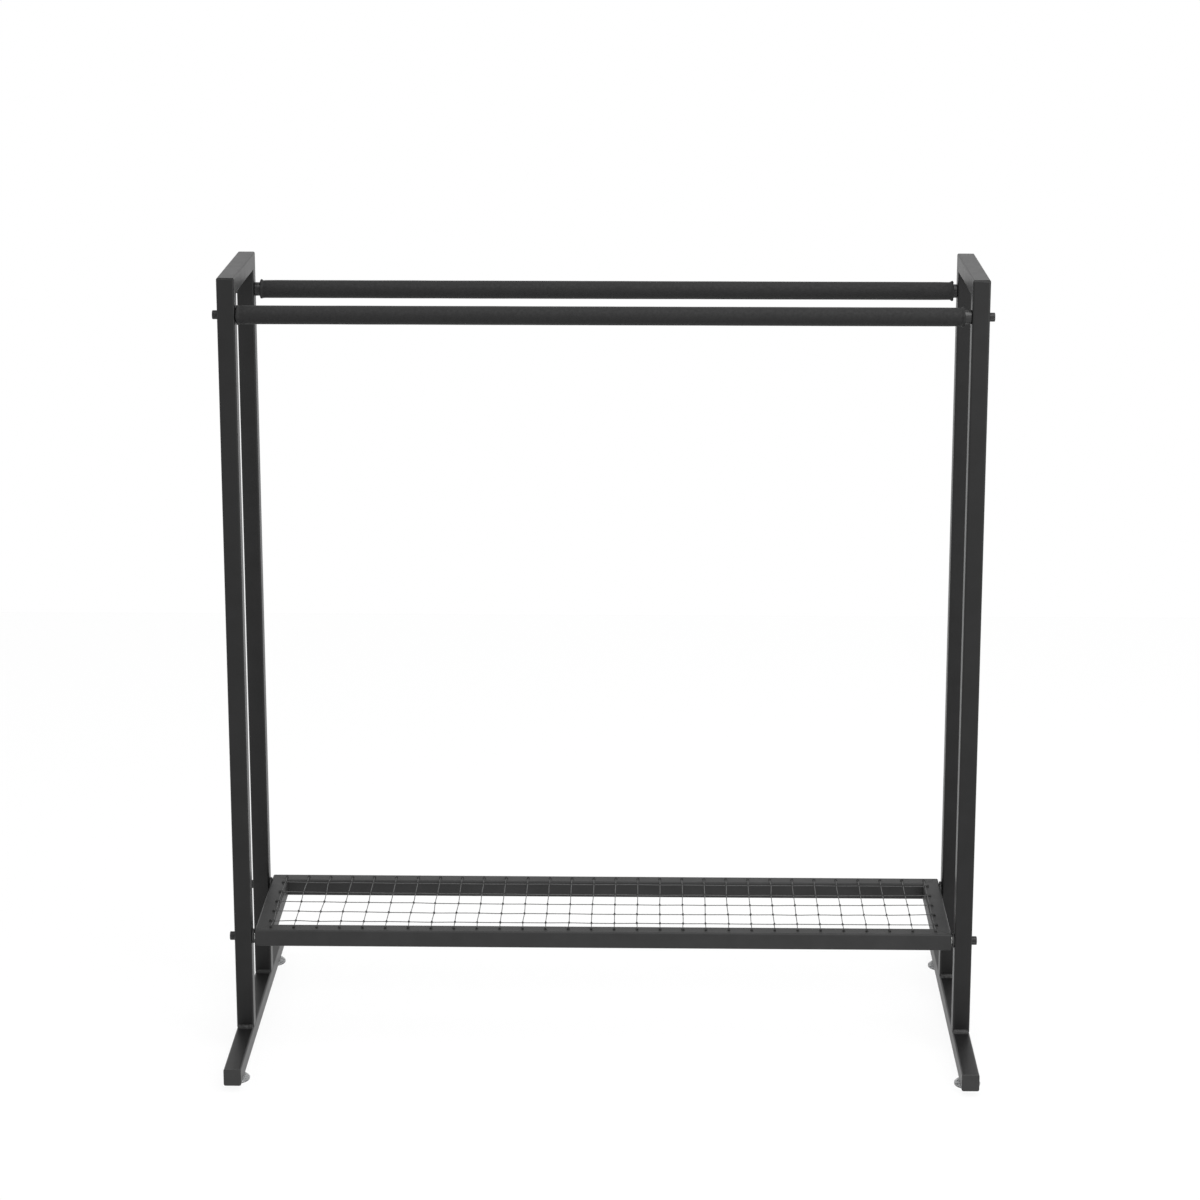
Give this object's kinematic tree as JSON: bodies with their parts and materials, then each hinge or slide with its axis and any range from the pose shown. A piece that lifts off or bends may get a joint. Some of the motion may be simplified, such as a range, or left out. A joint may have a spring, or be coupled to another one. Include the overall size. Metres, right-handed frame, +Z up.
{
  "type": "racket display stand",
  "caption": "Free-standing rack of black square tube: rackets hang between its foam-sleeved rails over a low netted shelf, on levelling feet.",
  "frame": {"origin": "on the floor under the middle of the stand, feet screwed in", "axes": "+X along the rails, +Y from the front to the rear, +Z up"},
  "size_m": [0.8724, 0.43, 0.92],
  "materials": {
    "black_coat": "satin black powder coat",
    "black_foam": "matt closed-cell foam",
    "black_screw": "black oxide steel",
    "zinc": "zinc plated steel",
    "black_plastic": "moulded, fine grain",
    "clear_plastic": "milky moulded plastic",
    "net_cord": "thin black twisted cord"
  },
  "bodies": {
    "stand": {"left_front_post": "black_coat", "left_rear_post": "black_coat", "left_top_bar": "black_coat", "left_foot_beam": "black_coat", "left_front_beam_cap": "black_plastic", "left_rear_beam_cap": "black_plastic", "left_front_foot_nut": "zinc", "left_rear_foot_nut": "zinc", "left_front_rail_bolt": "black_screw", "left_rear_rail_bolt": "black_screw", "left_front_shelf_bolt": "black_screw", "left_rear_shelf_bolt": "black_screw", "right_front_post": "black_coat", "right_rear_post": "black_coat", "right_top_bar": "black_coat", "right_foot_beam": "black_coat", "right_front_beam_cap": "black_plastic", "right_rear_beam_cap": "black_plastic", "right_front_foot_nut": "zinc", "right_rear_foot_nut": "zinc", "right_front_rail_bolt": "black_screw", "right_rear_rail_bolt": "black_screw", "right_front_shelf_bolt": "black_screw", "right_rear_shelf_bolt": "black_screw", "front_rail_tube": "black_coat", "front_rail_sleeve": "black_foam", "front_rail_left_insert": "zinc", "front_rail_right_insert": "zinc", "rear_rail_tube": "black_coat", "rear_rail_sleeve": "black_foam", "rear_rail_left_insert": "zinc", "rear_rail_right_insert": "zinc", "shelf_front_tube": "black_coat", "shelf_rear_tube": "black_coat", "shelf_left_tube": "black_coat", "shelf_right_tube": "black_coat", "shelf_left_front_nut": "zinc", "shelf_left_rear_nut": "zinc", "shelf_right_front_nut": "zinc", "shelf_right_rear_nut": "zinc", "shelf_left_front_spacer": "black_plastic", "shelf_left_rear_spacer": "black_plastic", "shelf_right_front_spacer": "black_plastic", "shelf_right_rear_spacer": "black_plastic", "shelf_net": "net_cord"},
    "left_front_pad": {"left_front_foot_pad": "clear_plastic"},
    "left_rear_pad": {"left_rear_foot_pad": "clear_plastic"},
    "right_front_pad": {"right_front_foot_pad": "clear_plastic"},
    "right_rear_pad": {"right_rear_foot_pad": "clear_plastic"},
    "left_front_stud": {"left_front_foot_stud": "zinc"},
    "left_rear_stud": {"left_rear_foot_stud": "zinc"},
    "right_front_stud": {"right_front_foot_stud": "zinc"},
    "right_rear_stud": {"right_rear_foot_stud": "zinc"}
  },
  "joints": [
    {"name": "left_front_foot_height", "type": "slide", "parent": "stand", "child": "left_front_pad", "axis": [0, 0, -1], "range_m": [0, 0.01]},
    {"name": "left_rear_foot_height", "type": "slide", "parent": "stand", "child": "left_rear_pad", "axis": [0, 0, -1], "range_m": [0, 0.01]},
    {"name": "right_front_foot_height", "type": "slide", "parent": "stand", "child": "right_front_pad", "axis": [0, 0, -1], "range_m": [0, 0.01]},
    {"name": "right_rear_foot_height", "type": "slide", "parent": "stand", "child": "right_rear_pad", "axis": [0, 0, -1], "range_m": [0, 0.01]},
    {"name": "left_front_foot_turn", "type": "hinge", "parent": "left_front_pad", "child": "left_front_stud", "pos_m": [-0.42, -0.177, 0.008], "axis": [0, 0, -1], "range_deg": [0, 2880]},
    {"name": "left_rear_foot_turn", "type": "hinge", "parent": "left_rear_pad", "child": "left_rear_stud", "pos_m": [-0.42, 0.177, 0.008], "axis": [0, 0, -1], "range_deg": [0, 2880]},
    {"name": "right_front_foot_turn", "type": "hinge", "parent": "right_front_pad", "child": "right_front_stud", "pos_m": [0.42, -0.177, 0.008], "axis": [0, 0, -1], "range_deg": [0, 2880]},
    {"name": "right_rear_foot_turn", "type": "hinge", "parent": "right_rear_pad", "child": "right_rear_stud", "pos_m": [0.42, 0.177, 0.008], "axis": [0, 0, -1], "range_deg": [0, 2880]}
  ],
  "couplings": [
    {"joint": "left_front_foot_turn", "follows": "left_front_foot_height", "rad_per_m": 5026.5},
    {"joint": "left_rear_foot_turn", "follows": "left_rear_foot_height", "rad_per_m": 5026.5},
    {"joint": "right_front_foot_turn", "follows": "right_front_foot_height", "rad_per_m": 5026.5},
    {"joint": "right_rear_foot_turn", "follows": "right_rear_foot_height", "rad_per_m": 5026.5}
  ]
}
